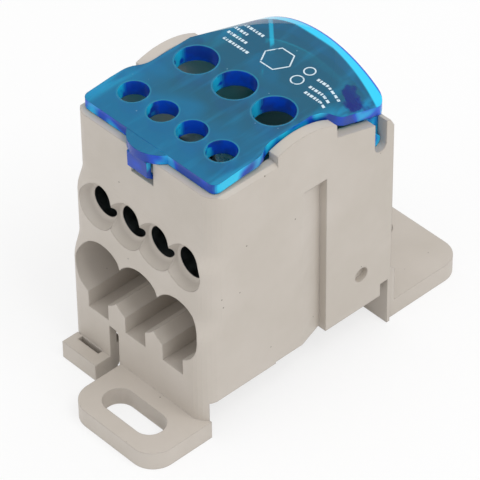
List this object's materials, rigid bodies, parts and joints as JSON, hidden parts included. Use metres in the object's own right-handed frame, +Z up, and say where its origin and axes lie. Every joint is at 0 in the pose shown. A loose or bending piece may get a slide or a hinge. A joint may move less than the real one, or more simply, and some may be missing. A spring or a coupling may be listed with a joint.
{
  "type": "power distribution block",
  "caption": "Rail-mount power distribution block: beige moulded housing, hinged clear blue cover, round wire entries, clamp screws and slotted fixing flanges.",
  "frame": {"origin": "middle of the footprint, on the mounting plane", "axes": "+X to the right seen from the wire entries, -Y towards the wire entries, +Z up from the mounting plane to the cover"},
  "size_m": [0.0296, 0.0644, 0.0468],
  "materials": {
    "housing_plastic": "matte",
    "clear_cover": "clear gloss",
    "tinned_metal": "tin plate",
    "screw_steel": "zinc plate"
  },
  "bodies": {
    "base": {"housing": "housing_plastic", "conductor_block": "tinned_metal"},
    "lid": {"cover": "clear_cover"},
    "small_clamp_1": {"small_screw_1": "screw_steel"},
    "small_clamp_2": {"small_screw_2": "screw_steel"},
    "small_clamp_3": {"small_screw_3": "screw_steel"},
    "small_clamp_4": {"small_screw_4": "screw_steel"},
    "large_clamp_1": {"large_screw_1": "screw_steel"},
    "large_clamp_2": {"large_screw_2": "screw_steel"},
    "large_clamp_3": {"large_screw_3": "screw_steel"}
  },
  "joints": [
    {"name": "cover_hinge", "type": "hinge", "parent": "base", "child": "lid", "pos_m": [0, 0.01325, 0.0357], "axis": [-1, 0, 0], "range_deg": [0, 110]},
    {"name": "small_screw_1_travel", "type": "slide", "parent": "base", "child": "small_clamp_1", "axis": [0, 0, -1], "range_m": [0, 0.003]},
    {"name": "small_screw_2_travel", "type": "slide", "parent": "base", "child": "small_clamp_2", "axis": [0, 0, -1], "range_m": [0, 0.003]},
    {"name": "small_screw_3_travel", "type": "slide", "parent": "base", "child": "small_clamp_3", "axis": [0, 0, -1], "range_m": [0, 0.003]},
    {"name": "small_screw_4_travel", "type": "slide", "parent": "base", "child": "small_clamp_4", "axis": [0, 0, -1], "range_m": [0, 0.003]},
    {"name": "large_screw_1_travel", "type": "slide", "parent": "base", "child": "large_clamp_1", "axis": [0, 0, -1], "range_m": [0, 0.0045]},
    {"name": "large_screw_2_travel", "type": "slide", "parent": "base", "child": "large_clamp_2", "axis": [0, 0, -1], "range_m": [0, 0.0045]},
    {"name": "large_screw_3_travel", "type": "slide", "parent": "base", "child": "large_clamp_3", "axis": [0, 0, -1], "range_m": [0, 0.0045]}
  ]
}
